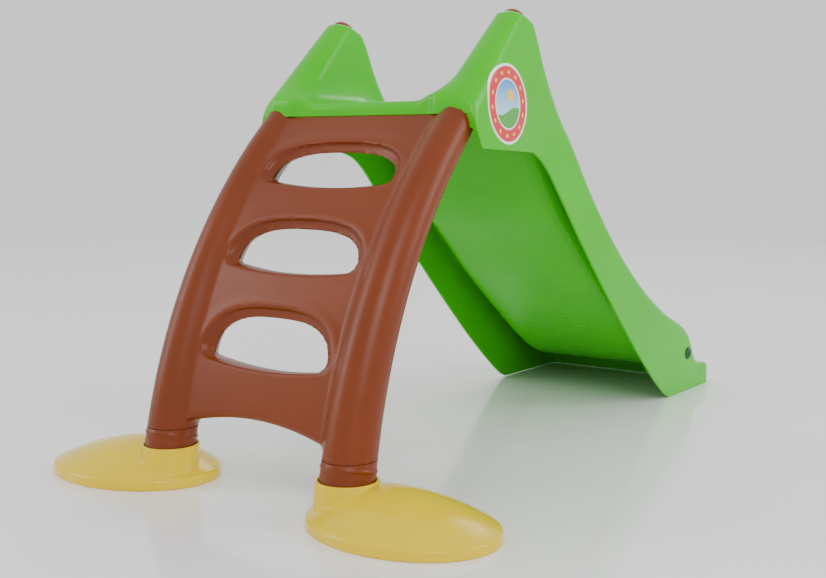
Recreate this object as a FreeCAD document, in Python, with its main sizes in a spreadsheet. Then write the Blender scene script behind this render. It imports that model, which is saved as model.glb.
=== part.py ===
import FreeCAD, Part

import math
import os

from FreeCAD import Placement, Rotation, Vector

# Toddler slide: a green chute moulding with a platform, hooked over the two rails of a
# brown blow-moulded ladder whose legs stand in yellow domed feet.
# Frame: X across the slide, +Y from the ladder to the run-out, +Z up, floor at Z = 0,
# origin under the middle of the whole slide.

doc = FreeCAD.newDocument("ToddlerSlide")

# ---------------------------------------------------------------- driving dimensions
DIMENSIONS = {
    # chute moulding
    "SlideHalfWidth": 170.0,
    "SheetWall": 3.5,
    "PlatformHeight": 500.0,
    "PlatformBack": -273.0,
    "ApronDepth": 18.0,
    "ChannelHalfWidth": 126.0,
    "FrontEnd": 580.5,
    "FrontCorner": 25.0,
    "DrawAngle": 44.0,
    # horns that drop over the rail tops
    "HornTipRadius": 22.0,
    "HornRootRadius": 36.5,
    "HornTipHeight": 616.0,
    "HornTipTilt": 20.0,
    # ladder
    "RailHalfSpacing": 150.0,
    "RailFootRadius": 33.5,
    "RailBendTopRadius": 25.6,
    "RailTipRadius": 17.0,
    "RailBend": 750.0,
    "RailFootY": -491.5,
    "RailFootZ": 50.6,
    "RailFootLean": 10.0,
    "RailTop": 228.0,
    "RailDomeHeight": 613.0,
    "RailDomeRise": 15.0,
    "RailWall": 3.0,
    "LegBelowBend": 40.5,
    "PanelBehind": 15.0,
    "PanelAhead": 25.0,
    "StepHalfLow": 96.0,
    "StepHalfMiddle": 102.0,
    "StepHalfHigh": 105.0,
    # feet
    "FootX": 225.0,
    "FootY": -484.7,
    "FootHalfLength": 125.0,
    "FootHalfWidth": 95.6,
    "FootRim": 12.0,
    "FootDome": 36.0,
    "FootTurn": 3.5,
    "FootWall": 3.0,
    "CollarRadius": 38.0,
    "CollarTop": 50.5,
    "CollarBore": 34.0,
    # trim
    "LabelRadius": 53.5,
    "LabelFilm": 0.6,
    "LabelY": -186.0,
    "LabelZ": 496.0,
    "PlugY": 467.0,
    "PlugZ": 68.0,
    "PlugFlange": 11.0,
    "PlugBarrel": 8.0,
    "PlugFlangeThick": 2.0,
    "PlugReach": 9.0,
    "PlugCatch": 1.2,
}

sheet = doc.addObject("Spreadsheet::Sheet", "Dimensions")
for row, (alias, value) in enumerate(DIMENSIONS.items(), start=1):
    sheet.set(f"A{row}", alias)
    sheet.set(f"B{row}", str(value))
    sheet.setAlias(f"B{row}", alias)
doc.recompute()


def size(alias):
    """A driving dimension, read back from the sheet."""
    return float(sheet.get(alias))


def bind(obj, **properties):
    """Tie properties of an object to expressions of the sheet's aliases."""
    for name, expression in properties.items():
        for alias in sorted(DIMENSIONS, key=len, reverse=True):
            expression = expression.replace(f"<{alias}>", f"Dimensions.{alias}")
        obj.setExpression(name, expression)
    return obj


# ---------------------------------------------------------------- small helpers
SIDE_VIEW = Placement(Vector(), Rotation(Vector(1, 1, 1), 120))  # sketch x, y are Y, Z
REAR_VIEW = Placement(Vector(), Rotation(Vector(1, 0, 0), 90))  # sketch x, y are X, Z
TOP_VIEW = Placement()  # sketch x, y are X, Y
MARGIN = 60.0  # how far a cutting shape runs past what it cuts
DEEP = "600"  # past the whole ladder, front to back


def flat(point):
    return Vector(point[0], point[1], 0)


def sketch(name, placement, runs):
    """A closed sketch. Each run is ("line", points), ("curve", points) or ("arc", 3 points)."""
    outline = doc.addObject("Sketcher::SketchObject", name)
    outline.Placement = placement
    for kind, points in runs:
        points = [flat(p) for p in points]
        if kind == "line":
            for start, end in zip(points, points[1:]):
                outline.addGeometry(Part.LineSegment(start, end), False)
        elif kind == "arc":
            outline.addGeometry(Part.Arc(*points), False)
        else:
            curve = Part.BSplineCurve()
            curve.interpolate(points)
            outline.addGeometry(curve, False)
    return outline


def prism(name, outline, axis, start, end):
    """Extrude a sketch along a world axis between two expressions."""
    solid = doc.addObject("Part::Extrusion", name)
    solid.Base = outline
    solid.DirMode = "Custom"
    solid.Dir = axis
    solid.Solid = True
    bind(solid, LengthFwd=end, LengthRev=f"-({start})")
    return solid


def combine(kind, name, *shapes):
    """Cut or common of two objects, or fuse of any number."""
    if kind == "MultiFuse":
        result = doc.addObject("Part::MultiFuse", name)
        result.Shapes = list(shapes)
    else:
        result = doc.addObject(f"Part::{kind}", name)
        result.Base, result.Tool = shapes
    return result


def mirror(name, source):
    """The same object on the other side of the slide's middle plane."""
    result = doc.addObject("Part::Mirroring", name)
    result.Source = source
    result.Normal = Vector(1, 0, 0)
    return result


def offset(points, distance):
    """Move an open polyline sideways, to its left for a positive distance."""
    moved = []
    for i, (y, z) in enumerate(points):
        before = points[max(i - 1, 0)]
        after = points[min(i + 1, len(points) - 1)]
        along = Vector(after[0] - before[0], after[1] - before[1], 0).normalize()
        moved.append((y - along.y * distance, z + along.x * distance))
    return moved


X_AXIS, Y_AXIS, Z_AXIS = Vector(1, 0, 0), Vector(0, 1, 0), Vector(0, 0, 1)

# ---------------------------------------------------------------- rail centre line
lean = math.radians(size("RailFootLean"))
draw = math.radians(size("DrawAngle"))
bend = size("RailBend")
rail_x = size("RailHalfSpacing")
centre_y = size("RailFootY") + bend * math.cos(lean)
centre_z = size("RailFootZ") - bend * math.sin(lean)
DRAW_AXIS = Vector(0, math.sin(draw), math.cos(draw))
BACKWARDS = Vector(0, -math.cos(draw), math.sin(draw))


def on_arc(angle, radius=None):
    """A point (y, z) of the ladder's bend, at an angle from the upright."""
    radius = bend if radius is None else radius
    return (centre_y - radius * math.cos(angle), centre_z + radius * math.sin(angle))


rail_top = Vector(rail_x, *on_arc(draw))


def on_axis(distance, behind=0.0):
    """A point on the straight top of the rail's line, and behind it."""
    return rail_top + DRAW_AXIS * distance + BACKWARDS * behind


def at_height(z, behind):
    """Where a line parallel to the straight top of the rail reaches a height."""
    start = on_axis(0, behind)
    along = (z - start.z) / DRAW_AXIS.z
    return (start.y + DRAW_AXIS.y * along, z)


# ---------------------------------------------------------------- ladder
SOLID_TIP = 12  # the hollow stops this many wall thicknesses short of the tip
OUTSIDE = 0.0  # the inset of an outside surface
BEND_SECTIONS = 6  # steps of the taper round the bend


def rail_bend(name, inset):
    """The curved part of a rail, lofted through circles that get smaller upwards."""
    sections = []
    for i in range(BEND_SECTIONS + 1):
        share = i / BEND_SECTIONS
        angle = lean + share * (draw - lean)
        circle = doc.addObject("Part::Circle", f"{name}_section_{i}")
        narrowing = f"{share} * (<RailFootRadius> - <RailBendTopRadius>)"
        bind(circle, Radius=f"<RailFootRadius> - {narrowing} - {inset}")
        circle.Placement = Placement(
            Vector(rail_x, *on_arc(angle)),
            Rotation(Z_AXIS, Vector(0, math.sin(angle), math.cos(angle))),
        )
        sections.append(circle)
    loft = doc.addObject("Part::Loft", name)
    loft.Sections = sections
    loft.Solid = True
    return loft


def rail(name, inset):
    """One side rail: leg, tapering bend, straight tapering top and domed tip, shrunk by inset."""
    tip_radius = f"<RailTipRadius> - {inset}"
    curve = rail_bend(name + "_bend", inset)
    leg = doc.addObject("Part::Cylinder", name + "_leg")
    bind(leg, Radius=f"<RailFootRadius> - {inset}", Height=f"<LegBelowBend> - {inset}")
    leg.Placement = Placement(
        Vector(rail_x, size("RailFootY"), size("RailFootZ")),
        Rotation(Z_AXIS, Vector(0, -math.sin(lean), -math.cos(lean))),
    )
    top = doc.addObject("Part::Cone", name + "_top")
    bind(
        top,
        Radius1=f"<RailBendTopRadius> - {inset}",
        Radius2=tip_radius,
        Height=f"<RailTop> - {SOLID_TIP} * {inset}",
    )
    top.Placement = Placement(rail_top, Rotation(Z_AXIS, DRAW_AXIS))
    pieces = [curve, leg, top]
    if inset == OUTSIDE:
        tip = doc.addObject("Part::Ellipsoid", name + "_tip")
        bind(tip, Radius1="<RailDomeRise>", Radius2=tip_radius, Radius3=tip_radius)
        dome_at = (size("RailDomeHeight") - rail_top.z) / DRAW_AXIS.z
        tip.Placement = Placement(on_axis(dome_at), Rotation(X_AXIS, -size("HornTipTilt")))
        pieces.append(tip)
    return combine("MultiFuse", name, *pieces)


PANEL_BOTTOM = math.radians(12.0)
PANEL_TOP = 481.7
TONGUE_TOP = 496.2
TONGUE_BEHIND, TONGUE_AHEAD, TONGUE_HALF = 4.0, 21.0, 105.0
STEPS = (  # each opening's lowest and highest points and its half width
    (161.0, 226.0, "StepHalfLow"),
    (278.5, 335.0, "StepHalfMiddle"),
    (386.0, 432.6, "StepHalfHigh"),
)


def panel(name, inset, behind, ahead, top, half_width):
    """The web between the rails: a band along the bend, shrunk by inset."""
    behind = behind - inset
    ahead = ahead - inset
    bottom = PANEL_BOTTOM + inset / bend
    back_top = at_height(top - inset, behind)
    front_top = at_height(top - inset, -ahead)
    middle = (PANEL_BOTTOM + draw) / 2
    back_start = on_axis(0, behind)
    front_start = on_axis(0, -ahead)
    outer, inner = bend + behind, bend - ahead
    outline = sketch(
        name + "_outline",
        SIDE_VIEW,
        [
            ("arc", (on_arc(bottom, outer), on_arc(middle, outer), on_arc(draw, outer))),
            (
                "line",
                ((back_start.y, back_start.z), back_top, front_top, (front_start.y, front_start.z)),
            ),
            ("arc", (on_arc(draw, inner), on_arc(middle, inner), on_arc(bottom, inner))),
            ("line", (on_arc(bottom, inner), on_arc(bottom, outer))),
        ],
    )
    return prism(name, outline, X_AXIS, f"-({half_width})", half_width)


def step_opening(name, low, high, half_width, grow):
    """A hand and foot hole: a gently sagging tread below, an arch above."""
    half = size(half_width) + grow
    low, high = low - grow, high + grow
    side = low + 7.0
    arch = [(half, side), (half * 0.9, low + 0.62 * (high - low)), (half * 0.5, high - 5.0)]
    arch += [(0.0, high)] + [(-x, z) for x, z in reversed(arch)]
    outline = sketch(
        name + "_outline",
        REAR_VIEW,
        [("arc", ((-half, side), (0.0, low), (half, side))), ("curve", arch)],
    )
    return prism(name, outline, Y_AXIS, f"-{DEEP}", DEEP)


def leg_arch(name, grow):
    """The arch that the panel's lower edge makes between the legs."""
    foot, crown, half = 83.5 + grow, 100.5 + grow, 119.0
    outline = sketch(
        name + "_outline",
        REAR_VIEW,
        [
            ("arc", ((half, foot), (0.0, crown), (-half, foot))),
            ("line", ((-half, foot), (-half, -MARGIN), (half, -MARGIN), (half, foot))),
        ],
    )
    return prism(name, outline, Y_AXIS, f"-{DEEP}", DEEP)


def ladder_form(name, inset):
    """Rails, web and openings as one solid, shrunk by inset on every face."""
    right = rail(name + "_rail_right", inset)
    left = mirror(name + "_rail_left", right)
    behind, ahead = size("PanelBehind"), size("PanelAhead")
    web = panel(name + "_web", inset, behind, ahead, PANEL_TOP, "<RailHalfSpacing>")
    tongue = panel(
        name + "_tongue", inset, TONGUE_BEHIND, TONGUE_AHEAD, TONGUE_TOP, f"{TONGUE_HALF - inset}"
    )
    openings = [
        step_opening(f"{name}_opening_{i}", low, high, half_width, inset)
        for i, (low, high, half_width) in enumerate(STEPS, start=1)
    ]
    voids = combine("MultiFuse", name + "_voids", leg_arch(name + "_arch", inset), *openings)
    closed_web = combine("MultiFuse", name + "_closed_web", web, tongue)
    open_web = combine("Cut", name + "_open_web", closed_web, voids)
    return combine("MultiFuse", name + "_form", right, left, open_web)


ladder = combine(
    "Cut", "ladder", ladder_form("outside", OUTSIDE), ladder_form("inside", size("RailWall"))
)

# ---------------------------------------------------------------- chute moulding
RIDGE = [
    (-99.0, 611.0), (-64.0, 556.0), (-34.0, 513.0), (20.0, 453.0), (93.0, 370.0),
    (179.0, 287.0), (317.0, 187.0), (403.0, 143.0), (455.0, 122.0),
]
NOSE = [(455.0, 122.0), (478.0, 107.0), (497.0, 84.0), (508.0, 62.0), (514.0, 46.0)]
SKIRT_EDGE = [
    (387.0, 3.0), (352.0, 21.0), (309.0, 54.0), (188.0, 161.0), (46.0, 300.0), (-27.0, 377.0),
]
SKIRT_REAR = [
    (-27.0, 377.0), (-62.0, 411.0), (-106.0, 431.0), (-257.0, 437.5), (-268.0, 460.0),
    (-271.0, 482.0),
]
FLOOR = [
    (-84.0, 493.0), (-23.0, 424.0), (60.0, 326.0), (99.0, 293.5), (165.0, 234.0),
    (237.0, 178.0), (305.0, 127.0), (365.0, 85.0), (420.0, 55.0), (470.0, 42.5), (520.0, 40.0),
]
front = size("FrontEnd")
LIP = [(520.0, 40.0), (548.0, 37.0), (568.0, 27.0), (front - 3.0, 12.0), (front, 0.0)]
platform = size("PlatformHeight")
back = size("PlatformBack")
wall = size("SheetWall")
tip_z = size("HornTipHeight")
tip_length = (tip_z - rail_top.z) / DRAW_AXIS.z
tip_point = on_axis(tip_length)
ARRIS = (-118.0, platform)  # where the platform turns into the chute
OVERHEAD = 700.0  # a height above the whole slide

outside_outline = sketch(
    "chute_side_outline",
    SIDE_VIEW,
    [
        ("line", ((back, platform), (-232.0, platform + 1.0), (tip_point.y, tip_z - 5.0))),
        ("line", ((tip_point.y, tip_z - 5.0), RIDGE[0])),
        ("curve", RIDGE),
        ("curve", NOSE),
        ("line", (NOSE[-1], LIP[0])),
        ("curve", LIP),
        ("line", (LIP[-1], (395.0, 0.0), SKIRT_EDGE[0])),
        ("curve", SKIRT_EDGE),
        ("line", SKIRT_REAR),
        ("line", (SKIRT_REAR[-1], (back, platform - size("ApronDepth")), (back, platform))),
    ],
)
outside = prism("chute_outside", outside_outline, X_AXIS, "-<SlideHalfWidth>", "<SlideHalfWidth>")


def plan(name, inset):
    """The slide seen from above, with round front corners, shrunk by inset."""
    half = size("SlideHalfWidth") - inset
    end = front - inset
    corner = size("FrontCorner") - inset
    middle = corner * (1.0 - math.sqrt(0.5))
    outline = sketch(
        name + "_outline",
        TOP_VIEW,
        [
            ("line", ((-half, end - corner), (-half, back - MARGIN), (half, back - MARGIN))),
            ("line", ((half, back - MARGIN), (half, end - corner))),
            ("arc", ((half, end - corner), (half - middle, end - middle), (half - corner, end))),
            ("line", ((half - corner, end), (corner - half, end))),
            ("arc", ((corner - half, end), (middle - half, end - middle), (-half, end - corner))),
        ],
    )
    return prism(name, outline, Z_AXIS, f"-{MARGIN}", f"{OVERHEAD}")


channel_outline = sketch(
    "chute_channel_outline",
    SIDE_VIEW,
    [
        ("line", ((back - MARGIN, platform), ARRIS)),
        ("curve", [ARRIS, (-100.0, 498.5)] + FLOOR[:2]),
        ("curve", FLOOR[1:]),
        ("line", (FLOOR[-1], (front + MARGIN, 40.0), (front + MARGIN, OVERHEAD))),
        ("line", ((front + MARGIN, OVERHEAD), (back - MARGIN, OVERHEAD))),
        ("line", ((back - MARGIN, OVERHEAD), (back - MARGIN, platform))),
    ],
)
channel = prism(
    "chute_channel", channel_outline, X_AXIS, "-<ChannelHalfWidth>", "<ChannelHalfWidth>"
)

# Each horn section: its distance along the rail's axis, its radius and how far it runs ahead.
HORN_SECTIONS = {
    "root": (10.0, "HornRootRadius", 92.0),
    "tip": (tip_length + 12.0, "HornTipRadius", 60.0),
}


def horn(name, inset):
    """A socket over one rail: round at the rail, easing into the flat skirt ahead of it."""
    sections = []
    for label, (distance, radius, reach) in HORN_SECTIONS.items():
        rear = size(radius) - inset
        ahead = size("SlideHalfWidth") - rail_x - inset
        tangent = math.asin((rear - ahead) / reach)
        across, down = math.cos(tangent), math.sin(tangent)
        right_start, right_end = (rear * across, -rear * down), (ahead * across, -reach)
        left_start, left_end = (-rear * across, -rear * down), (-ahead * across, -reach)
        outline = sketch(
            f"{name}_{label}_outline",
            Placement(on_axis(distance), Rotation(X_AXIS, BACKWARDS, DRAW_AXIS, "XYZ")),
            [
                ("arc", (right_start, (0.0, rear), left_start)),
                ("line", (left_start, left_end, right_end, right_start)),
            ],
        )
        sections.append(outline)
    loft = doc.addObject("Part::Loft", name)
    loft.Sections = sections
    loft.Solid = True
    loft.Ruled = True
    return loft


def both_horns(name, inset):
    """The horn sockets of both sides."""
    right = horn(name + "_right", inset)
    return combine("MultiFuse", name, right, mirror(name + "_left", right))


# Everything behind the rear edge, below the skirt or above the tilted tips is trimmed off
# the horns, and what is in the way of the ladder's web off the whole moulding.
rear_trim = doc.addObject("Part::Box", "rear_trim")
bind(rear_trim, Length="4 * <SlideHalfWidth>", Width="200", Height="400")
rear_trim.Placement = Placement(Vector(-2 * size("SlideHalfWidth"), back - 200.0, 300.0), Rotation())
lower_trim = doc.addObject("Part::Box", "lower_trim")
bind(lower_trim, Length="4 * <SlideHalfWidth>", Width="400", Height="200")
lower_trim.Placement = Placement(Vector(-2 * size("SlideHalfWidth"), -400.0, 237.4), Rotation())
tip_trim = doc.addObject("Part::Box", "tip_trim")
bind(tip_trim, Length="4 * <SlideHalfWidth>", Width="200", Height="60")
tilt = Rotation(X_AXIS, -size("HornTipTilt"))
tip_trim.Placement = Placement(
    Vector(-2 * size("SlideHalfWidth"), tip_point.y, tip_z) + tilt.multVec(Vector(0, -100, 0)), tilt
)
ridge_outline = sketch(
    "ridge_outline",
    SIDE_VIEW,
    [
        ("curve", RIDGE),
        ("line", (RIDGE[-1], (RIDGE[-1][0], OVERHEAD), (RIDGE[0][0], OVERHEAD), RIDGE[0])),
    ],
)
ridge_trim = prism(
    "ridge_trim", ridge_outline, X_AXIS, "-2 * <SlideHalfWidth>", "2 * <SlideHalfWidth>"
)
web_trim = doc.addObject("Part::Box", "web_trim")
bind(web_trim, Length="2 * <ChannelHalfWidth>", Width="200", Height="200 - <ApronDepth>")
web_trim.Placement = Placement(
    Vector(-size("ChannelHalfWidth"), back + wall - 200.0, platform - 200.0), Rotation()
)
trims = combine("MultiFuse", "trims", rear_trim, lower_trim, tip_trim, ridge_trim)

rounded_outside = combine("Common", "rounded_outside", outside, plan("plan_outside", OUTSIDE))
open_outside = combine("Cut", "chute_open_outside", rounded_outside, channel)
horns = combine("Cut", "horns_outside", both_horns("horn_outside", OUTSIDE), trims)
horned_chute = combine("MultiFuse", "horned_chute", open_outside, horns)
chute_form = combine("Cut", "chute_form", horned_chute, web_trim)

UNDERSIDE = offset([ARRIS] + FLOOR, -wall)
underside_outline = sketch(
    "underside_outline",
    SIDE_VIEW,
    [
        ("line", ((back + wall, -MARGIN), (back + wall, platform - wall), UNDERSIDE[0])),
        ("curve", [UNDERSIDE[0]] + UNDERSIDE[1:]),
        ("line", (UNDERSIDE[-1], (548.0, 33.0), (566.0, 23.0), (front - wall, 9.0))),
        ("line", ((front - wall, 9.0), (front - wall, -MARGIN))),
        ("line", ((front - wall, -MARGIN), (back + wall, -MARGIN))),
    ],
)
under_floor = prism(
    "under_floor", underside_outline, X_AXIS, "-<SlideHalfWidth>", "<SlideHalfWidth>"
)
underside = combine("Common", "underside", under_floor, plan("plan_inside", wall))

RIDGE_UNDER = offset(RIDGE, -wall)
NOSE_UNDER = offset(NOSE, -wall)
flank_outline = sketch(
    "flank_outline",
    SIDE_VIEW,
    [
        ("line", ((-236.0, 480.0), (tip_point.y, tip_z - 14.0), RIDGE_UNDER[0])),
        ("curve", RIDGE_UNDER),
        ("line", [RIDGE_UNDER[-1]] + NOSE_UNDER[1:]),
        ("line", (NOSE_UNDER[-1], (508.0, 30.0), (400.0, 40.0), (60.0, 300.0), (-236.0, 480.0))),
    ],
)
flank_right = prism(
    "flank_right",
    flank_outline,
    X_AXIS,
    "<ChannelHalfWidth> + <SheetWall>",
    "<SlideHalfWidth> - <SheetWall>",
)
flank_left = mirror("flank_left", flank_right)
ridge_under_outline = sketch(
    "ridge_under_outline",
    SIDE_VIEW,
    [
        ("curve", RIDGE_UNDER),
        ("line", (RIDGE_UNDER[-1], (RIDGE_UNDER[-1][0], OVERHEAD))),
        ("line", ((RIDGE_UNDER[-1][0], OVERHEAD), (RIDGE_UNDER[0][0], OVERHEAD), RIDGE_UNDER[0])),
    ],
)
ridge_under_trim = prism(
    "ridge_under_trim", ridge_under_outline, X_AXIS, "-2 * <SlideHalfWidth>", "2 * <SlideHalfWidth>"
)
rail_sockets = combine("Cut", "rail_sockets", both_horns("horn_inside", wall), ridge_under_trim)
hollow = combine("MultiFuse", "hollow", underside, flank_right, flank_left, rail_sockets)
chute = combine("Cut", "chute", chute_form, hollow)

# ---------------------------------------------------------------- plugs near the front end
PLUG_PLACE = Placement(
    Vector(size("SlideHalfWidth"), size("PlugY"), size("PlugZ")), Rotation(Y_AXIS, 90)
)


def disc(name, radius, start, height):
    """A cylinder on the plug's axis; start is its distance outside the skirt."""
    cylinder = doc.addObject("Part::Cylinder", name)
    bind(cylinder, Radius=radius, Height=height)
    cylinder.Placement = PLUG_PLACE.multiply(Placement(Vector(0, 0, start), Rotation()))
    return cylinder


def plug(name):
    """A push-in plug: flange outside, barrel through the skirt, catch ring inside."""
    flange = disc(name + "_flange", "<PlugFlange>", 0.0, "<PlugFlangeThick>")
    barrel = disc(name + "_barrel", "<PlugBarrel>", -size("PlugReach"), "<PlugReach> + 1")
    catch = disc(name + "_catch", "<PlugBarrel> + <PlugCatch>", -wall - 3.0, "2.8")
    return combine("MultiFuse", name, flange, barrel, catch)


hole_right = disc("plug_hole_right", "<PlugBarrel> + 0.05", -wall - 2.0, "<SheetWall> + 4")
holes = combine("MultiFuse", "plug_holes", hole_right, mirror("plug_hole_left", hole_right))
slide_shell = combine("Cut", "slide_shell", chute, holes)
plug_right = plug("plug_right")
plug_left = mirror("plug_left", plug_right)

# ---------------------------------------------------------------- round picture label
# A thin film that follows the skirt: the moulding moved out by the film, less the moulding.
label_round = doc.addObject("Part::Cylinder", "label_round")
bind(label_round, Radius="<LabelRadius>", Height="60")
label_round.Placement = Placement(
    Vector(rail_x, size("LabelY"), size("LabelZ")), Rotation(Y_AXIS, 90)
)
doc.recompute()
outer_copy = doc.addObject("Part::Feature", "skirt_moved_out")
outer_copy.Shape = chute_form.Shape
outer_copy.Placement = Placement(Vector(size("LabelFilm"), 0, 0), Rotation())
label_band = combine("Cut", "label_band", outer_copy, chute_form)
label_right = combine("Common", "label_right", label_band, label_round)

# ---------------------------------------------------------------- feet
FOOT_TURN = Rotation(Z_AXIS, -size("FootTurn"))
FOOT_PLACE = Placement(Vector(size("FootX"), size("FootY"), 0), FOOT_TURN)
LEG_DIRECTION = Vector(0, math.sin(lean), math.cos(lean))


def on_leg(height):
    """The placement on a leg's axis at a height, looking up the leg."""
    foot = Vector(rail_x, size("RailFootY"), size("RailFootZ"))
    along = (height - foot.z) / LEG_DIRECTION.z
    return Placement(foot + LEG_DIRECTION * along, Rotation(Z_AXIS, LEG_DIRECTION))


def dome(name, inset, base):
    """The oval foot: an upright rim band with a low dome on it, shrunk by inset."""
    oval = doc.addObject("Part::Ellipse", name + "_oval")
    bind(oval, MajorRadius=f"<FootHalfLength> - {inset}", MinorRadius=f"<FootHalfWidth> - {inset}")
    oval.Placement = Placement(Vector(size("FootX"), size("FootY"), base), FOOT_TURN)
    band = doc.addObject("Part::Extrusion", name + "_band")
    band.Base = oval
    band.DirMode = "Custom"
    band.Dir = Z_AXIS
    band.Solid = True
    bind(band, LengthFwd=f"<FootRim> - ({base})")
    cap = doc.addObject("Part::Ellipsoid", name + "_cap")
    bind(
        cap,
        Radius1=f"<FootDome> - {inset}",
        Radius2=f"<FootHalfLength> - {inset}",
        Radius3=f"<FootHalfWidth> - {inset}",
        Angle1="0",
    )
    cap.Placement = FOOT_PLACE.multiply(Placement(Vector(0, 0, size("FootRim")), Rotation()))
    return combine("MultiFuse", name, band, cap)


def upright(name, radius, low, high):
    """A cylinder about a leg's axis between two heights."""
    cylinder = doc.addObject("Part::Cylinder", name)
    length = (high - low) / LEG_DIRECTION.z
    bind(cylinder, Radius=radius, Height=str(length))
    cylinder.Placement = on_leg(low)
    return cylinder


SOCKET_FLOOR = 10.5  # height of the socket's floor on the leg's axis
FLOOR_THICK = 3.4
ABOVE = 200.0  # side of the block that trims the collar level
foot_wall = size("FootWall")
foot_outside = dome("foot_outside", 0.0, 0.0)
foot_inside = dome("foot_inside", foot_wall, -1.0)
foot_skin = combine("Cut", "foot_skin", foot_outside, foot_inside)
tall_collar = upright(
    "tall_collar", "<CollarRadius>", SOCKET_FLOOR - FLOOR_THICK, size("CollarTop") + MARGIN
)
collar_top = doc.addObject("Part::Box", "collar_top")
bind(collar_top, Length=f"{ABOVE}", Width=f"{ABOVE}", Height=f"{ABOVE}")
collar_top.Placement = Placement(
    Vector(rail_x - ABOVE / 2, size("RailFootY") - ABOVE / 2, size("CollarTop")), Rotation()
)
collar = combine("Cut", "collar", tall_collar, collar_top)
foot_solid = combine("MultiFuse", "foot_solid", foot_skin, collar)
socket = upright("socket", "<CollarBore>", SOCKET_FLOOR, size("CollarTop") + MARGIN)
foot_right = combine("Cut", "foot_right", foot_solid, socket)
foot_left = mirror("foot_left", foot_right)

# ---------------------------------------------------------------- check and write the parts
PARTS = [slide_shell, ladder, foot_left, foot_right, plug_left, plug_right, label_right]

doc.recompute()
for item in doc.Objects:
    if "Invalid" in item.State or "Error" in item.State:
        raise RuntimeError(f"{item.Name} did not compute: {item.State}")
os.makedirs("parts", exist_ok=True)
for item in PARTS:
    if item.Shape.isNull() or not item.Shape.isValid() or len(item.Shape.Solids) != 1:
        raise RuntimeError(f"{item.Label} is not one valid solid")
    item.Shape.exportStep(f"parts/{item.Label}.step")
    print(item.Label, round(item.Shape.Volume / 1000.0, 1), "cm3")
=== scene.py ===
import math

import bmesh
import bpy
import numpy as np
from mathutils import Matrix, Vector


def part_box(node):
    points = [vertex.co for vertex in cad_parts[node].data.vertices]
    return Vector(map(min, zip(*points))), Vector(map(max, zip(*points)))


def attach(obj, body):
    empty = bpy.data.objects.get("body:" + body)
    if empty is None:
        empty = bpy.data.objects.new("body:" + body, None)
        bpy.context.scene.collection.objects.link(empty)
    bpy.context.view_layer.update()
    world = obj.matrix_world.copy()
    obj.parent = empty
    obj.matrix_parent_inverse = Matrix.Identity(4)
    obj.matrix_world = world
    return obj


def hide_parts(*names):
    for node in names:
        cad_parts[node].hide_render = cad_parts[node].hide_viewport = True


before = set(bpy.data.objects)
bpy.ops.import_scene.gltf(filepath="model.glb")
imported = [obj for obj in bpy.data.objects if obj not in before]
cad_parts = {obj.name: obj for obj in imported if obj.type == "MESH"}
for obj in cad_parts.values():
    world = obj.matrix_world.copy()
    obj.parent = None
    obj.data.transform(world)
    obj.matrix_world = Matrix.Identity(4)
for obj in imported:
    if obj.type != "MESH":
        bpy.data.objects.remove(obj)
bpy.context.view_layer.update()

# Shapes are worked out in millimetres in the part's own frame: X across, +Y towards the
# run-out, +Z up. MM turns them into metres when a mesh is made.
MM = 0.001

# ------------------------------------------------------------------ driving sizes
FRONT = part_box("slide_shell")[1].y / MM  # front end of the run-out
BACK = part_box("slide_shell")[0].y / MM  # rear edge of the platform
HALF_WIDTH = 170.0  # outer faces of the skirts
WALL = 3.5
RAIL_X = 150.0
FOOT_RADIUS, BEND_TOP_RADIUS = 33.5, 25.6  # the rails taper upwards
BEND = 750.0  # the rails' bend
LEAN = math.radians(10.0)  # from the upright, at the feet
DRAW = math.radians(44.0)  # the same at the top, and the chute moulding's draw direction
FOOT = (-491.5, 50.6)  # (y, z) of the rails' line where the bend starts
CENTRE = (FOOT[0] + BEND * math.cos(LEAN), FOOT[1] - BEND * math.sin(LEAN))
RAIL_TOP = (CENTRE[0] - BEND * math.cos(DRAW), CENTRE[1] + BEND * math.sin(DRAW))
BEND_LENGTH = BEND * (DRAW - LEAN)
TOP_LENGTH, TIP_RADIUS = 228.0, 17.0
RAIL_GAP = 0.7  # between a rail and the edge of its opening


# ------------------------------------------------------------------ distance helpers
def join_round(a, b, radius):
    """Union of two distances with a fillet of that radius where they meet."""
    bite = np.hypot(np.maximum(radius - a, 0.0), np.maximum(radius - b, 0.0))
    return np.maximum(radius, np.minimum(a, b)) - bite


def meet_round(a, b, radius):
    """Intersection of two distances with an edge of that radius."""
    bulge = np.hypot(np.maximum(radius + a, 0.0), np.maximum(radius + b, 0.0))
    return np.minimum(-radius, np.maximum(a, b)) + bulge


def ease(t):
    """0 to 1 with no kink at either end."""
    t = np.clip(t, 0.0, 1.0)
    return t * t * (3.0 - 2.0 * t)


def to_draw(y, z):
    """From the side view to (along, up) in the moulding's draw frame."""
    return y * math.cos(DRAW) - z * math.sin(DRAW), y * math.sin(DRAW) + z * math.cos(DRAW)


def from_draw(along, up):
    return (
        along * math.cos(DRAW) + up * math.sin(DRAW),
        -along * math.sin(DRAW) + up * math.cos(DRAW),
    )


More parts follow.
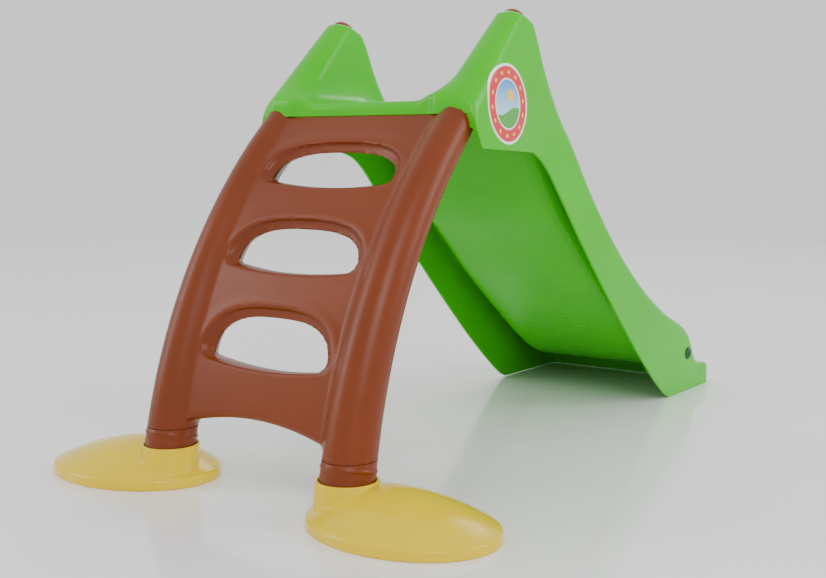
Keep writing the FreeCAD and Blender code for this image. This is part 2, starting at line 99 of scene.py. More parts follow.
def profile(points, soften):
    """A smooth height and slope over the draw frame, through side-view points (y, z)."""
    s, n = np.array([to_draw(*p) for p in points]).T
    slope = np.gradient(n, s)
    table = np.arange(s[0] - 120.0, s[-1] + 120.0, 1.0)
    inside = np.clip(table, s[0], s[-1])
    i = np.clip(np.searchsorted(s, inside) - 1, 0, len(s) - 2)
    gap = s[i + 1] - s[i]
    t = (inside - s[i]) / gap
    height = (
        (1 + 2 * t) * (1 - t) ** 2 * n[i]
        + t * (1 - t) ** 2 * gap * slope[i]
        + t * t * (3 - 2 * t) * n[i + 1]
        + t * t * (t - 1) * gap * slope[i + 1]
    )
    height += np.where(table < s[0], slope[0], slope[-1]) * (table - inside)
    reach = int(3 * soften)
    kernel = np.exp(-0.5 * (np.arange(-reach, reach + 1) / soften) ** 2)
    padded = np.pad(height, reach, mode="reflect", reflect_type="odd")
    height = np.convolve(padded, kernel / kernel.sum(), mode="valid")
    return table, height, np.gradient(height, table)


def above(curve, s, n):
    """Distance above a profile, about true to scale on its slopes."""
    table, height, slope = curve
    tilt = np.interp(s, table, slope)
    return (n - np.interp(s, table, height)) / np.sqrt(1.0 + tilt * tilt)


# ------------------------------------------------------------------ mesh helpers
def surface(form, low, high, cell):
    """Closed mesh of a distance form inside a box: a surface net, moved onto the zero."""
    centre = (np.array(low) + np.array(high)) / 2
    half = (np.array(high) - np.array(low)) / 2

    def field(x, y, z):
        walls = np.maximum(abs(x - centre[0]) - half[0], abs(y - centre[1]) - half[1])
        return np.maximum(form(x, y, z), np.maximum(walls, abs(z - centre[2]) - half[2]))

    axes = [np.arange(a - 1.6 * cell, b + 2.0 * cell, cell) for a, b in zip(low, high)]
    values = np.empty([len(a) for a in axes], np.float32)
    for i, x in enumerate(axes[0]):
        values[i] = field(x, axes[1][:, None], axes[2][None, :])
    inside = values < 0
    n = values.shape
    corners = [(i, j, k) for i in (0, 1) for j in (0, 1) for k in (0, 1)]
    count = sum(
        inside[i : n[0] - 1 + i, j : n[1] - 1 + j, k : n[2] - 1 + k].astype(np.uint8)
        for i, j, k in corners
    )
    cells = np.argwhere((count > 0) & (count < 8))
    ids = np.full(count.shape, -1, np.int64)
    ids[tuple(cells.T)] = np.arange(len(cells))
    # each cell's point is the mean of the crossings on its edges
    total = np.zeros((len(cells), 3))
    hits = np.zeros((len(cells), 1))
    for a in corners:
        for axis in range(3):
            if a[axis]:
                continue
            b = [a[i] + (i == axis) for i in range(3)]
            va = values[tuple((cells + a).T)]
            vb = values[tuple((cells + b).T)]
            cross = (va < 0) != (vb < 0)
            t = np.where(cross, va / np.where(cross, va - vb, 1.0), 0.0)
            point = np.array(a, float) + t[:, None] * (np.array(b) - a)
            total += np.where(cross[:, None], point, 0.0)
            hits += cross[:, None]
    points = np.array([a[0] for a in axes]) + cell * (cells + total / hits)
    # each crossed grid edge makes one quad of the four cells round it
    quads = []
    for axis in range(3):
        u, v = (axis + 1) % 3, (axis + 2) % 3
        here = [slice(None)] * 3
        there = [slice(None)] * 3
        here[axis], there[axis] = slice(None, -1), slice(1, None)
        first, second = inside[tuple(here)], inside[tuple(there)]
        for solid, flip in ((first & ~second, False), (~first & second, True)):
            edge = np.argwhere(solid)
            around = []
            for du, dv in ((1, 1), (0, 1), (0, 0), (1, 0)):
                cell_at = edge.copy()
                cell_at[:, u] -= du
                cell_at[:, v] -= dv
                around.append(ids[tuple(cell_at.T)])
            quad = np.stack(around, 1)
            quads.append(quad[:, ::-1] if flip else quad)
    # Newton steps along the form's own slope
    step = 0.02
    for _ in range(6):
        value = field(*points.T)
        slope = (
            np.stack([field(*(points + step * np.eye(3)[i]).T) - value for i in range(3)], 1)
            / step
        )
        scale = np.maximum((slope**2).sum(1), 0.05)
        move = np.clip(value / scale, -0.5 * cell, 0.5 * cell)
        points = points - move[:, None] * slope
    return points, np.concatenate(quads)


def mesh_object(name, points, faces):
    """A mesh object in metres from millimetre points."""
    mesh = bpy.data.meshes.new(name)
    faces = faces.tolist() if isinstance(faces, np.ndarray) else faces
    mesh.from_pydata((np.asarray(points, float) * MM).tolist(), [], faces)
    mesh.update()
    obj = bpy.data.objects.new(name, mesh)
    bpy.context.scene.collection.objects.link(obj)
    return obj


def apply_modifiers(obj):
    """Bake an object's modifiers into its mesh."""
    bpy.context.view_layer.update()
    graph = bpy.context.evaluated_depsgraph_get()
    mesh = bpy.data.meshes.new_from_object(obj.evaluated_get(graph))
    obj.modifiers.clear()
    old = obj.data
    obj.data = mesh
    bpy.data.meshes.remove(old)
    mesh.name = obj.name


def cut_with(obj, cutter, operation="DIFFERENCE"):
    """Boolean with a closed cutter, which is used up."""
    modifier = obj.modifiers.new("cut", "BOOLEAN")
    modifier.operation = operation
    modifier.solver = "MANIFOLD"
    modifier.object = cutter
    apply_modifiers(obj)
    bpy.data.objects.remove(cutter)


def repair(obj, merge=None):
    """Consistent outward faces, big polygons cut up, and doubled points merged if asked."""
    work = bmesh.new()
    work.from_mesh(obj.data)
    if merge:
        bmesh.ops.remove_doubles(work, verts=work.verts, dist=merge)
    bmesh.ops.triangulate(work, faces=[f for f in work.faces if len(f.verts) > 4])
    bmesh.ops.recalc_face_normals(work, faces=work.faces)
    work.to_mesh(obj.data)
    work.free()


def side_prism(name, outline, half_width):
    """A closed prism of a side-view outline (y, z), either side of the middle."""
    count = len(outline)
    points = [(x, y, z) for x in (-half_width, half_width) for y, z in outline]
    faces = [[i, (i + 1) % count, count + (i + 1) % count, count + i] for i in range(count)]
    faces += [list(range(count))[::-1], list(range(count, 2 * count))]
    obj = mesh_object(name, points, faces)
    repair(obj)
    return obj


def lathe(name, outline, segments):
    """Spin an outline of (radius, height) about Z."""
    rows = len(outline)
    points, faces = [], []
    for i in range(segments):
        angle = 2 * math.pi * i / segments
        points += [(r * math.cos(angle), r * math.sin(angle), h) for r, h in outline]
        j = (i + 1) % segments
        faces += [
            (i * rows + k, j * rows + k, j * rows + k + 1, i * rows + k + 1)
            for k in range(rows - 1)
        ]
    obj = mesh_object(name, points, faces)
    repair(obj, merge=1e-6)
    return obj


def smooth(obj, angle):
    """Shade smooth, with edges sharper than angle kept crisp."""
    obj.data.shade_smooth()
    obj.data.set_sharp_from_angle(angle=math.radians(angle))


def move_points(obj, change):
    """Pass an object's points, in millimetres, through a function."""
    count = len(obj.data.vertices)
    co = np.empty(count * 3)
    obj.data.vertices.foreach_get("co", co)
    moved = change(co.reshape(-1, 3) / MM) * MM
    obj.data.vertices.foreach_set("co", moved.ravel())
    obj.data.update()


def mirrored(obj, name):
    """A copy on the other side of the middle plane."""
    copy = bpy.data.objects.new(name, obj.data.copy())
    bpy.context.scene.collection.objects.link(copy)
    move_points(copy, lambda co: co * [-1.0, 1.0, 1.0])
    copy.data.flip_normals()
    return copy


def rail_radius(length):
    """Radius of the ladder's rails, which taper upwards."""
    bend = FOOT_RADIUS + (BEND_TOP_RADIUS - FOOT_RADIUS) * np.clip(length / BEND_LENGTH, 0.0, 1.0)
    top = (BEND_TOP_RADIUS - TIP_RADIUS) * np.clip((length - BEND_LENGTH) / TOP_LENGTH, 0.0, 1.0)
    return bend - top


# ------------------------------------------------------------------ chute moulding
RIDGE = [
    (-115.7, 623.0), (-103.0, 608.5), (-81.0, 581.0), (-49.0, 530.0), (-17.0, 491.0),
    (20.0, 453.0), (93.0, 370.0), (179.0, 287.0), (317.0, 187.0), (403.0, 143.0),
    (455.0, 122.0), (478.0, 107.0), (497.0, 84.0), (508.0, 62.0), (514.0, 44.0), (517.0, 24.0),
]
FLOOR = [
    (-300.0, 500.0), (-200.0, 500.0), (-125.0, 500.0), (-84.0, 491.0), (-23.0, 424.0),
    (60.0, 326.0), (99.0, 293.5), (165.0, 234.0), (237.0, 178.0), (305.0, 127.0),
    (365.0, 85.0), (420.0, 55.0), (470.0, 42.5), (520.0, 40.0), (560.0, 38.0), (600.0, 36.0),
]
SKIRT_EDGE = [
    (-106.0, 431.5), (-82.0, 424.0), (-55.0, 405.0), (-27.0, 377.0), (46.0, 300.0),
    (188.0, 161.0), (267.0, 89.0), (309.0, 54.0), (352.0, 21.0), (375.0, 6.0), (392.0, 0.0),
]
SKIRT_REAR = [(-320.0, 482.0), (-272.0, 482.0), (-269.0, 460.0), (-257.0, 437.5)]
HORN_S, TIP_N = to_draw(-122.8, 616.0)
TIP_TILT = math.radians(24.0)  # how far the tips slope away from square to the horns
HORN_TIP_RADIUS, HORN_ROOT_RADIUS, HORN_GROWTH = 22.0, 39.5, 0.0635
CHANNEL_HALF = 127.0  # the chute's flat floor ends here
HORN_REACH = 75.0  # how far ahead of its axis a horn eases into the flanks
BULGE_FADE = 115.0  # and how much further until its bulge outside the skirt is gone
REAR_BULGE = 5.0  # the rear edge stands this much further back at the rails
NOSE_RADIUS, CORNER_RADIUS = 24.0, 26.0  # of the front end, from the side and from above
RIDGE_CURVE = profile(RIDGE, 5.0)
FLOOR_CURVE = profile(FLOOR, 9.0)


def horn_radius(n):
    """The horn is a tapered tube: wide at the platform, narrow at the tip."""
    return np.clip(HORN_TIP_RADIUS + HORN_GROWTH * (TIP_N - n), 20.0, HORN_ROOT_RADIUS)


def moulding(x, s, n):
    """Distance to the outside of the chute moulding, in the draw frame."""
    ax = np.abs(x)
    # the flanks: round behind the rail's line, easing into the flat skirt ahead of it
    radius = horn_radius(n)
    behind = s < HORN_S
    bulge = 1.0 - ease((s - HORN_S - HORN_REACH) / BULGE_FADE)
    outer_x = HALF_WIDTH + (RAIL_X + radius - HALF_WIDTH) * bulge
    hug = 1.0 - ease((s - HORN_S) / HORN_REACH)
    inner_x = CHANNEL_HALF - (CHANNEL_HALF - (RAIL_X - radius)) * hug
    round_out = np.hypot(np.maximum(ax - RAIL_X, 0.0), s - HORN_S) - radius
    round_in = np.hypot(np.minimum(ax - RAIL_X, 0.0), s - HORN_S) - radius
    outer = np.where(behind, round_out, ax - outer_x)
    inner = np.where(behind, round_in, inner_x - ax)
    # the flanks' top: the ridge and the sloping tips
    tip = (n - TIP_N - math.tan(TIP_TILT) * (s - HORN_S)) * math.cos(TIP_TILT)
    top = np.maximum(above(RIDGE_CURVE, s, n), tip)
    # edges are crisper at the tips, and the fillet along the channel is widest at the platform
    edge = 5.0 + 14.0 * ease((s + 505.0) / 70.0)
    fillet = 38.0 - 22.0 * ease((s + 450.0) / 90.0) - 11.0 * ease((s - 300.0) / 40.0)
    bench = meet_round(inner, top, edge)
    # the floor between the flanks, then the rear edge, the front end and the sides
    y, _ = from_draw(s, n)
    form = join_round(above(FLOOR_CURVE, s, n), bench, fillet)
    rear = BACK - REAR_BULGE * ease((ax - 112.0) / 14.0) * (1.0 - ease((ax - 156.0) / 16.0))
    form = meet_round(form, rear - y, 1.0 + 9.0 * (1.0 - ease((ax - 95.0) / 20.0)))
    form = meet_round(form, y - FRONT, NOSE_RADIUS)
    side = meet_round(outer, y - FRONT, CORNER_RADIUS)
    return meet_round(form, side, edge - 12.0 * ease((s - 315.0) / 25.0))


def skirt_line():
    """The skirt's lower edge as close points in the side view."""
    table, height, _ = profile(SKIRT_EDGE, 6.0)
    start, end = to_draw(*SKIRT_EDGE[0])[0], to_draw(*SKIRT_EDGE[-1])[0]
    keep = (table >= start) & (table <= end)
    return [from_draw(s, n) for s, n in zip(table[keep][::6], height[keep][::6])]


SHELL_LOW, SHELL_HIGH = (-196.0, -560.0), (196.0, 432.0)  # (x, s) of the moulding's room
SHELL_BASE, SHELL_TOP = 128.0, 430.0  # and its n, all in the draw frame


def rail_way(side):
    """The room that one rail's tapering top takes up in the moulding, in the draw frame."""
    start = to_draw(*RAIL_TOP)[1]
    heights = np.arange(start - 20.0, start + 230.0, 15.0)
    outline = [(0.0, heights[0])]
    outline += [(rail_radius(BEND_LENGTH + n - start) + RAIL_GAP, n) for n in heights]
    outline += [(TIP_RADIUS + RAIL_GAP, SHELL_TOP - 10.0), (0.0, SHELL_TOP - 10.0)]
    way = lathe("rail_way", outline, 96)
    way.data.transform(Matrix.Translation(Vector((side * RAIL_X, HORN_S, 0.0)) * MM))
    return way


def make_shell():
    """The green moulding: an even wall under the outside surface, open below."""
    cell = 4.0
    high = (*SHELL_HIGH, SHELL_TOP)
    outside = surface(moulding, (*SHELL_LOW, SHELL_BASE), high, cell)
    shell = mesh_object("chute", *outside)
    low = (*SHELL_LOW, SHELL_BASE - 8.0)
    inside = surface(lambda x, s, n: moulding(x, s, n) + WALL, low, high, cell + 1.0)
    cut_with(shell, mesh_object("hollow", *inside))
    for side in (-1, 1):
        cut_with(shell, rail_way(side))
    move_points(shell, lambda co: np.stack([co[:, 0], *from_draw(co[:, 1], co[:, 2])], 1))
    outline = SKIRT_REAR + skirt_line() + [(640.0, 0.0), (640.0, 700.0), (-320.0, 700.0)]
    cut_with(shell, side_prism("skirt_cut", outline, 230.0), "INTERSECT")
    smooth(shell, 40.0)
    return shell


# ------------------------------------------------------------------ ladder
# each step hole's lowest and highest points and its half width
STEPS = ((161.0, 224.0, 96.0), (278.5, 333.0, 101.0), (386.0, 431.5, 103.0))
WEB_REAR, WEB_FRONT = 15.0, -25.0  # the web's faces, measured backwards from the rails' line
WEB_TOP = 481.7
TONGUE_REAR, TONGUE_FRONT, TONGUE_HALF = 4.0, -21.0, 105.0  # the tongue under the platform
TONGUE_BASE, TONGUE_TOP = 465.0, 496.0
ARCH_TOP, ARCH_DROP, ARCH_HALF = 100.5, 17.0, 119.0  # the web's lower edge
RIM_REAR, RIM_FRONT = 6.0, 0.0  # the openings are narrowest between these depths
COVE, FRONT_COVE = 13.0, 20.0  # how much wider they are at the two faces
TREAD_RISE, TREAD_DROP = 7.0, 5.0  # towards the sides, and towards the front
ROUNDNESS = 2.8  # of the openings' arch; 2 is an ellipse and more is squarer
SWELL = 1.1  # height of the soft bead round an opening
WEB_FILLET = 9.0
LEG_END = -40.0  # on the rails' line
RING_T = 13.0  # the ring round each leg, on the rails' line
RING_HEIGHT, ZIGZAG_HEIGHT, ZIGZAG_PITCH = 1.3, 0.4, 50.3
DOME_Z, DOME_HEIGHT = 613.0, 15.0  # the rails' rounded tips
DOME = from_draw(HORN_S, to_draw(*RAIL_TOP)[1] + (DOME_Z - RAIL_TOP[1]) / math.cos(DRAW))
DOME_TILT = math.radians(20.0)


def to_rail(y, z):
    """(length, behind): how far along the rails' line and how far behind it."""
    dy, dz = y - CENTRE[0], z - CENTRE[1]
    length = BEND * (np.arctan2(dz, -dy) - LEAN)
    behind = np.hypot(dy, dz) - BEND
    up = (y - RAIL_TOP[0]) * math.sin(DRAW) + (z - RAIL_TOP[1]) * math.cos(DRAW)
    up_behind = -(y - RAIL_TOP[0]) * math.cos(DRAW) + (z - RAIL_TOP[1]) * math.sin(DRAW)
    down = (y - FOOT[0]) * math.sin(LEAN) + (z - FOOT[1]) * math.cos(LEAN)
    down_behind = -(y - FOOT[0]) * math.cos(LEAN) + (z - FOOT[1]) * math.sin(LEAN)
    length = np.where(up > 0, BEND_LENGTH + up, np.where(down < 0, down, length))
    behind = np.where(up > 0, up_behind, np.where(down < 0, down_behind, behind))
    return length, behind


def step_hole(x, z, behind, low, high, half):
    """Distance to one step hole: sagging tread, arch above it, cove round the arch."""
    side = low + 7.0  # where the arch springs
    u = np.abs(x) / half
    v = np.maximum(z - side, 0.0) / (high - side)
    g = np.maximum(u**ROUNDNESS + v**ROUNDNESS, 1e-6) ** (1.0 / ROUNDNESS)
    slope = np.hypot(u ** (ROUNDNESS - 1) / half, v ** (ROUNDNESS - 1) / (high - side))
    arch = (g - 1.0) / np.maximum(slope * g ** (1.0 - ROUNDNESS), 1e-3)
    rear = np.clip((behind - RIM_REAR) / (WEB_REAR - RIM_REAR), 0.0, 1.0)
    front = np.clip((RIM_FRONT - behind) / (RIM_FRONT - WEB_FRONT), 0.0, 1.0)
    cove = COVE * (1.0 - (1.0 - rear) ** 2) ** 0.75 + FRONT_COVE * front
    tread = low + TREAD_RISE * np.minimum(u, 1.3) ** 2 - TREAD_DROP * front - z
    corner = 2.0 + 14.0 * np.clip((behind - RIM_FRONT) / (RIM_REAR - RIM_FRONT), 0.0, 1.0)
    return meet_round(arch - cove, tread, corner), arch - COVE


def leg_relief(ax, length, behind):
    """Height of the moulded relief on a leg: a ring, and a fine zigzag below it."""
    ring = RING_HEIGHT * np.exp(-(((length - RING_T) / 1.9) ** 2))
    around = np.arctan2(behind, ax - RAIL_X) * 32.0
    half = ZIGZAG_PITCH / 2
    zigzag = np.abs(np.mod(around, ZIGZAG_PITCH) - half)
    up = np.abs(zigzag - half * length / RING_T)
    down = np.abs(zigzag - half * (1.0 - length / RING_T))
    cross = np.minimum(up, down)
    return ring + ZIGZAG_HEIGHT * np.exp(-((cross / 1.5) ** 2)) * (length < RING_T)


def rail_form(ax, y, z, length, behind):
    """Distance to the side rails, from the leg ends to the domed tips."""
    rail = np.hypot(ax - RAIL_X, behind) - rail_radius(length) - leg_relief(ax, length, behind)
    lean_y, lean_z = math.sin(DOME_TILT), math.cos(DOME_TILT)
    up = (y - DOME[0]) * lean_y + (z - DOME[1]) * lean_z
    across = (y - DOME[0]) * lean_z - (z - DOME[1]) * lean_y
    dome = np.sqrt((up / DOME_HEIGHT) ** 2 + ((ax - RAIL_X) ** 2 + across**2) / TIP_RADIUS**2)
    rail = np.minimum(np.maximum(rail, up), (dome - 1.0) * DOME_HEIGHT)
    return np.maximum(rail, LEG_END - length)


def web_form(x, z, behind):
    """Distance to the web between the rails, with its tongue and step holes."""
    ax = np.abs(x)
    swell = np.zeros_like(behind + x)
    holes = []
    for low, high, half in STEPS:
        hole, border = step_hole(x, z, behind, low, high, half)
        holes.append(hole)
        bead = np.exp(-(((border - 7.0) / 6.0) ** 2))
        swell = swell + SWELL * bead * ease((z - low - 6.0) / 14.0)
    web = np.maximum(behind - WEB_REAR - swell, WEB_FRONT - behind)
    arch = ARCH_TOP - ARCH_DROP * (x / ARCH_HALF) ** 2 - z
    web = meet_round(web, arch / np.sqrt(1.0 + (0.0024 * x) ** 2), 9.0)
    web = meet_round(web, z - WEB_TOP, 2.0)
    tongue = np.maximum(behind - TONGUE_REAR, TONGUE_FRONT - behind)
    tongue = np.maximum(tongue, ax - TONGUE_HALF)
    tongue = np.maximum(tongue, np.maximum(z - TONGUE_TOP, TONGUE_BASE - z))
    web = np.maximum(np.minimum(web, tongue), ax - RAIL_X)
    for hole in holes:
        web = meet_round(web, -hole, 2.5)
    return web


def ladder_form(x, y, z):
    """Distance to the ladder's skin."""
    length, behind = to_rail(y, z)
    rail = rail_form(np.abs(x), y, z, length, behind)
    return join_round(rail, web_form(x, z, behind), WEB_FILLET)


LEG_SPLIT = 74.0  # height under which the legs' small relief needs a finer mesh


def make_ladder():
    """The brown ladder, with its two leg ends as finer meshes."""
    cell = 2.8
    body = surface(ladder_form, (-190.0, -560.0, LEG_SPLIT), (190.0, -90.0, 640.0), cell)
    ladder = mesh_object("ladder_body", *body)
    smooth(ladder, 50.0)
    low, high = (112.0, -540.0, 4.0), (188.0, -440.0, LEG_SPLIT)
    right = mesh_object("leg_end_right", *surface(ladder_form, low, high, 1.2))
    smooth(right, 50.0)
    return ladder, right, mirrored(right, "leg_end_left")


# ------------------------------------------------------------------ feet
FOOT_CENTRE = (225.0, -484.7)
FOOT_HALF = (125.0, 95.6)
FOOT_TURN = math.radians(-3.5)
RIM_HEIGHT, RIM_EDGE = 12.0, 2.2  # of the rim band, and the rounding of its upper edge
DOME_RISE, DOME_POWER = 38.0, 1.8
DOME_TOP = -22.0  # how far the dome's top is towards the leg from the foot's middle
FOOT_WALL = 3.6
COLLAR, COLLAR_TOP, BORE = 38.0, 50.5, 34.6  # radius, height and bore of the leg's socket
COLLAR_BASE, SOCKET_FLOOR = 3.0, 4.5
COLLAR_EDGE, COLLAR_FILLET = 0.8, 1.5


def foot_form(x, y, z):
    """Distance to the right foot's skin: a rim band, a low dome and the leg's collar."""
    dx, dy = x - FOOT_CENTRE[0], y - FOOT_CENTRE[1]
    u = dx * math.cos(FOOT_TURN) + dy * math.sin(FOOT_TURN)
    v = -dx * math.sin(FOOT_TURN) + dy * math.cos(FOOT_TURN)
    # the oval rim
    rho = np.sqrt((u / FOOT_HALF[0]) ** 2 + (v / FOOT_HALF[1]) ** 2) + 1e-9
    steep = np.hypot(u / FOOT_HALF[0] ** 2, v / FOOT_HALF[1] ** 2) + 1e-9
    side = (rho - 1.0) * rho / steep
    # share is 0 at the dome's top and 1 at the rim
    from_top = u - DOME_TOP
    skew = DOME_TOP * from_top / FOOT_HALF[0] ** 2
    room = 1.0 - (DOME_TOP / FOOT_HALF[0]) ** 2
    square = (from_top / FOOT_HALF[0]) ** 2 + (v / FOOT_HALF[1]) ** 2
    share = np.minimum((skew + np.sqrt(skew**2 + room * square)) / room, 1.02)
    height = RIM_HEIGHT + DOME_RISE * (1.0 - share**DOME_POWER)
    top = (z - height) * 0.9
    outer = meet_round(side, top, RIM_EDGE)
    skin = np.maximum(outer, -outer - FOOT_WALL)
    # the collar round the leaning leg, and its bore
    behind = -(y - FOOT[0]) * math.cos(LEAN) + (z - FOOT[1]) * math.sin(LEAN)
    away = np.hypot(x - RAIL_X, behind)
    collar = meet_round(away - COLLAR, z - COLLAR_TOP, COLLAR_EDGE)
    collar = np.maximum(collar, COLLAR_BASE - z)
    foot = join_round(skin, collar, COLLAR_FILLET)
    bore = np.maximum(away - BORE, SOCKET_FLOOR - z)
    return meet_round(foot, -bore, COLLAR_EDGE)


def make_feet():
    """Both feet; the left one is the right one mirrored."""
    low, high = (95.0, -584.0, 0.0), (354.0, -386.0, 64.0)
    right = mesh_object("foot_right_dome", *surface(foot_form, low, high, 1.9))
    smooth(right, 65.0)
    return right, mirrored(right, "foot_left_dome")


# ------------------------------------------------------------------ plugs and label
PLUG_FLANGE, PLUG_BARREL, PLUG_REACH = 11.0, 8.0, 9.0


def make_plug(name, side):
    """A push-in plug: round flange with a dished middle and a cross slot."""
    outline = [
        (0.0, 0.9), (5.2, 0.9), (6.4, 1.6), (7.6, 2.3), (9.6, 2.3), (10.7, 1.7),
        (PLUG_FLANGE, 0.9), (PLUG_FLANGE, -0.3), (PLUG_BARREL, -0.3),
        (PLUG_BARREL, 0.4 - PLUG_REACH), (PLUG_BARREL - 1.0, -PLUG_REACH), (0.0, -PLUG_REACH),
    ]
    plug = lathe(name, outline, 64)
    for turn in (45.0, 135.0):
        points = [(x, y, z) for x in (-5.0, 5.0) for y in (-0.8, 0.8) for z in (-0.4, 2.0)]
        faces = [(0, 1, 3, 2), (4, 6, 7, 5), (0, 4, 5, 1), (2, 3, 7, 6), (0, 2, 6, 4), (1, 5, 7, 3)]
        slot = mesh_object("slot", points, faces)
        repair(slot)
        slot.data.transform(Matrix.Rotation(math.radians(turn), 4, "Z"))
        cut_with(plug, slot)
    low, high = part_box(name.replace("_trim", ""))
    middle = (low + high) / 2
    plug.data.transform(Matrix.Rotation(math.radians(90.0 * side), 4, "Y"))
    plug.data.transform(Matrix.Translation((side * HALF_WIDTH * MM, middle.y, middle.z)))
    smooth(plug, 35.0)
    return plug


def skirt_at(y, z):
    """X of the right skirt's outer face at side-view points."""
    s, n = to_draw(y, z)
    x = np.full(np.shape(y), HALF_WIDTH)
    for _ in range(12):
        x = x - np.clip(moulding(x, s, n), -3.0, 3.0)
    return x


def make_label():
    """A thin round film that follows the skirt."""
    low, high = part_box("label_right")
    middle, radius = (low + high) / 2 / MM, (high.z - low.z) / 2 / MM
    rings, segments, film, tuck = 28, 128, 0.35, 0.3  # the edge is tucked into the skirt
    angle = np.linspace(0.0, 2 * math.pi, segments, endpoint=False)
    reach = np.concatenate([np.linspace(0.02, 1.0, rings) * radius, [radius]])
    y = middle.y + reach[:, None] * np.cos(angle)
    z = middle.z + reach[:, None] * np.sin(angle)
    lift = np.full(len(reach), film)
    lift[-1] = -tuck
    x = skirt_at(y, z) + lift[:, None]
    points = np.stack([x, y, z], -1).reshape(-1, 3)
    faces = []
    for i in range(len(reach) - 1):
        for j in range(segments):
            k = (j + 1) % segments
            a, b = i * segments, (i + 1) * segments
            faces.append((a + j, b + j, b + k, a + k))
    faces.append(tuple(range(segments)))
    label = mesh_object("label_film", points, faces)
    smooth(label, 40.0)
    return label, middle * MM, radius * MM


# ------------------------------------------------------------------ materials
class Nodes:
    """Small helper to add and join shader nodes."""

    def __init__(self, name):
        self.material = bpy.data.materials.new(name)
        self.material.use_nodes = True
        self.tree = self.material.node_tree
        self.shader = self.tree.nodes["Principled BSDF"]
        self.coords = self.tree.nodes.new("ShaderNodeTexCoord").outputs["Object"]

    def add(self, kind, inputs=(), **settings):
        node = self.tree.nodes.new(kind)
        for key, value in settings.items():
            setattr(node, key, value)
        for key, value in dict(inputs).items():
            if isinstance(value, bpy.types.NodeSocket):
                self.tree.links.new(value, node.inputs[key])
            else:
                node.inputs[key].default_value = value
        return node

    def math(self, operation, a, b=0.0):
        return self.add("ShaderNodeMath", {0: a, 1: b}, operation=operation).outputs[0]

    def noise(self, scale, detail=2.0, stretch=(1.0, 1.0, 1.0)):
        place = self.add("ShaderNodeMapping", {"Vector": self.coords, "Scale": stretch})
        inputs = {"Vector": place.outputs[0], "Scale": scale, "Detail": detail}
        return self.add("ShaderNodeTexNoise", inputs).outputs["Fac"]

    def spread(self, value, low, high, start=0.3, end=0.7):
        inputs = {"Value": value, "From Min": start, "From Max": end, "To Min": low, "To Max": high}
        return self.add("ShaderNodeMapRange", inputs).outputs["Result"]

    def blend(self, factor, first, second):
        node = self.add("ShaderNodeMix", {0: factor, 6: first, 7: second}, data_type="RGBA")
        return node.outputs[2]

    def feed(self, socket, value):
        self.tree.links.new(value, self.shader.inputs[socket])


def plastic(name, dark, light, roughness, grain, relief, gloss):
    """Moulded plastic: slight mottling, uneven gloss, fine grain and faint scuffs."""
    m = Nodes(name)
    m.feed("Base Color", m.blend(m.spread(m.noise(7.0, 3.0), 0.0, 1.0), (*dark, 1), (*light, 1)))
    patches = m.spread(m.noise(16.0, 4.0), roughness - 0.035, roughness + 0.035)
    scuffs = m.noise(60.0, 5.0, (0.25, 2.2, 2.2))
    scuffs = m.spread(scuffs, 0.0, 0.10, 0.60, 0.72)
    m.feed("Roughness", m.math("ADD", patches, scuffs))
    fine = m.noise(grain, 2.0)
    broad = m.noise(14.0, 1.0)
    bump = m.add("ShaderNodeBump", {"Height": broad, "Strength": 0.06, "Distance": 0.004})
    bump = m.add(
        "ShaderNodeBump",
        {"Height": fine, "Strength": relief, "Distance": 0.0004, "Normal": bump.outputs[0]},
    )
    m.feed("Normal", bump.outputs[0])
    m.shader.inputs["Specular IOR Level"].default_value = gloss
    return m.material


def label_print(middle, radius):
    """A made-up round picture: white border, red ring with dots, sky, hill and sun.

    Its distances are shares of the label's radius.
    """
    m = Nodes("label_print")
    parts = m.add("ShaderNodeSeparateXYZ", {0: m.coords}).outputs
    y = m.math("DIVIDE", m.math("SUBTRACT", parts[1], middle.y), radius)
    z = m.math("DIVIDE", m.math("SUBTRACT", parts[2], middle.z), radius)
    away = m.math("SQRT", m.math("ADD", m.math("MULTIPLY", y, y), m.math("MULTIPLY", z, z)))
    around = m.math("ARCTAN2", z, y)
    sky = m.blend(m.spread(z, 0.0, 1.0, -0.4, 0.6), (0.55, 0.85, 0.95, 1), (0.03, 0.30, 0.75, 1))
    roll = m.math("MULTIPLY", m.math("SINE", m.math("MULTIPLY", y, 4.0)), 0.10)
    hill = m.math("LESS_THAN", m.math("SUBTRACT", z, roll), -0.18)
    scene = m.blend(hill, sky, (0.06, 0.38, 0.04, 1))
    sun_y, sun_z = m.math("SUBTRACT", y, 0.16), m.math("SUBTRACT", z, 0.22)
    sun = m.math("ADD", m.math("MULTIPLY", sun_y, sun_y), m.math("MULTIPLY", sun_z, sun_z))
    scene = m.blend(m.math("LESS_THAN", sun, 0.022), scene, (0.95, 0.62, 0.02, 1))
    scene = m.blend(m.math("GREATER_THAN", away, 0.60), scene, (0.95, 0.95, 0.92, 1))
    scene = m.blend(m.math("GREATER_THAN", away, 0.64), scene, (0.70, 0.02, 0.03, 1))
    beat = m.math("SINE", m.math("MULTIPLY", around, 14.0))
    near = m.math("ABSOLUTE", m.math("SUBTRACT", away, 0.79))
    dots = m.math("GREATER_THAN", m.math("SUBTRACT", beat, m.math("MULTIPLY", near, 14.0)), 0.35)
    scene = m.blend(dots, scene, (0.95, 0.60, 0.05, 1))
    scene = m.blend(m.math("GREATER_THAN", away, 0.935), scene, (0.95, 0.95, 0.93, 1))
    m.feed("Base Color", scene)
    m.feed("Roughness", m.spread(m.noise(90.0, 3.0), 0.18, 0.30))
    bump = m.add("ShaderNodeBump", {"Height": m.noise(900.0), "Strength": 0.05, "Distance": 0.0002})
    m.feed("Normal", bump.outputs[0])
    return m.material


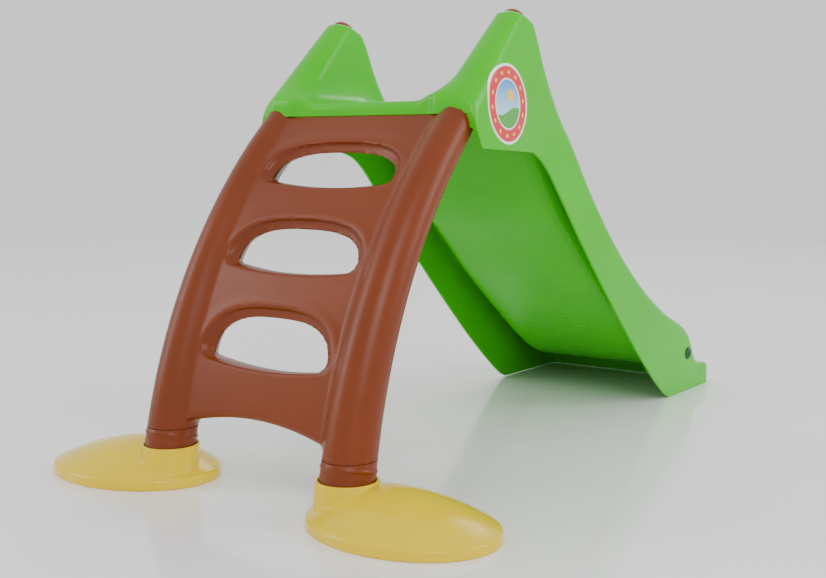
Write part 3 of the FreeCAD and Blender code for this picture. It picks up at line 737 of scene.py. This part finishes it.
# ------------------------------------------------------------------ camera and stage
def make_camera():
    data = bpy.data.cameras.new("camera")
    camera = bpy.data.objects.new("camera", data)
    bpy.context.scene.collection.objects.link(camera)
    camera.location = (1.0127, -1.5596, 0.4386)
    azimuth, down = math.radians(35.708), math.radians(6.759)
    camera.rotation_euler = (math.pi / 2 - down, 0.0, azimuth)
    data.sensor_width = 36.0
    data.lens = 52.02
    bpy.context.scene.camera = camera


def make_stage():
    """A pale, slightly glossy floor that sweeps up into a wall all round."""
    flat, sweep = 4200.0, 1800.0
    outline = [(0.0, 0.0), (3000.0, 0.0), (flat, 0.0)]
    outline += [
        (flat + sweep * math.sin(a), sweep - sweep * math.cos(a))
        for a in np.radians(np.arange(6.0, 81.0, 6.0))
    ]
    floor = lathe("floor", outline, 96)
    floor.data.flip_normals()
    smooth(floor, 60.0)
    m = Nodes("floor_paint")
    shade = m.spread(m.noise(0.6, 2.0), 0.0, 1.0)
    m.feed("Base Color", m.blend(shade, (0.93, 0.93, 0.93, 1), (0.95, 0.95, 0.95, 1)))
    m.feed("Roughness", m.spread(m.noise(5.0, 3.0), 0.10, 0.16))
    m.shader.inputs["IOR"].default_value = 1.6
    floor.data.materials.append(m.material)
    world = bpy.data.worlds.new("world")
    bpy.context.scene.world = world
    world.use_nodes = True
    world.node_tree.nodes["Background"].inputs["Color"].default_value = (1, 1, 1, 1)
    world.node_tree.nodes["Background"].inputs["Strength"].default_value = 1.0
    aim = Vector((0.0, -0.1, 0.3))
    for name, place, width, height, power in (
        ("key", (2.4, -2.6, 2.6), 1.2, 1.6, 55.0),
        ("side", (2.8, 1.3, 1.7), 0.7, 1.8, 35.0),
        ("left", (-2.6, -1.8, 1.5), 0.8, 1.8, 25.0),
        ("back", (-1.2, 2.8, 2.6), 2.0, 1.2, 30.0),
    ):
        data = bpy.data.lights.new(name, "AREA")
        data.shape = "RECTANGLE"
        data.size, data.size_y = width, height
        data.energy = power
        light = bpy.data.objects.new(name, data)
        light.location = place
        light.rotation_euler = (aim - Vector(place)).to_track_quat("-Z", "Y").to_euler()
        bpy.context.scene.collection.objects.link(light)


# ------------------------------------------------------------------ put it together
make_camera()
make_stage()

green = plastic(
    "green_plastic", (0.040, 0.47, 0.0), (0.047, 0.53, 0.0), 0.24, 900.0, 0.08, 0.22
)
brown = plastic(
    "brown_plastic", (0.165, 0.029, 0.004), (0.190, 0.035, 0.005), 0.34, 1100.0, 0.25, 0.28
)
yellow = plastic(
    "yellow_plastic", (0.76, 0.54, 0.0), (0.82, 0.58, 0.0), 0.18, 900.0, 0.05, 0.30
)
dark = plastic("plug_plastic", (0.006, 0.035, 0.010), (0.008, 0.045, 0.013), 0.35, 900.0, 0.2, 0.4)


def place(piece, material, body, slot):
    """Give a piece its material and the body it rides on; the slot argument is not used."""
    piece.data.materials.clear()
    piece.data.materials.append(material)
    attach(piece, body)


shell = make_shell()
place(shell, green, "slide", "chute_plastic")
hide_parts("slide_shell")

ladder_pieces = make_ladder()
for piece in ladder_pieces:
    place(piece, brown, "ladder", "ladder_plastic")
    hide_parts("ladder")

foot_right, foot_left = make_feet()
place(foot_right, yellow, "foot_right", "foot_plastic")
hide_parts("foot_right")
place(foot_left, yellow, "foot_left", "foot_plastic")
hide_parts("foot_left")

plug_right = make_plug("plug_right_trim", 1)
place(plug_right, dark, "slide", "plug_plastic")
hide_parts("plug_right")
plug_left = make_plug("plug_left_trim", -1)
place(plug_left, dark, "slide", "plug_plastic")
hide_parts("plug_left")

label, label_middle, label_radius = make_label()
place(label, label_print(label_middle, label_radius), "slide", "label_film")
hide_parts("label_right")
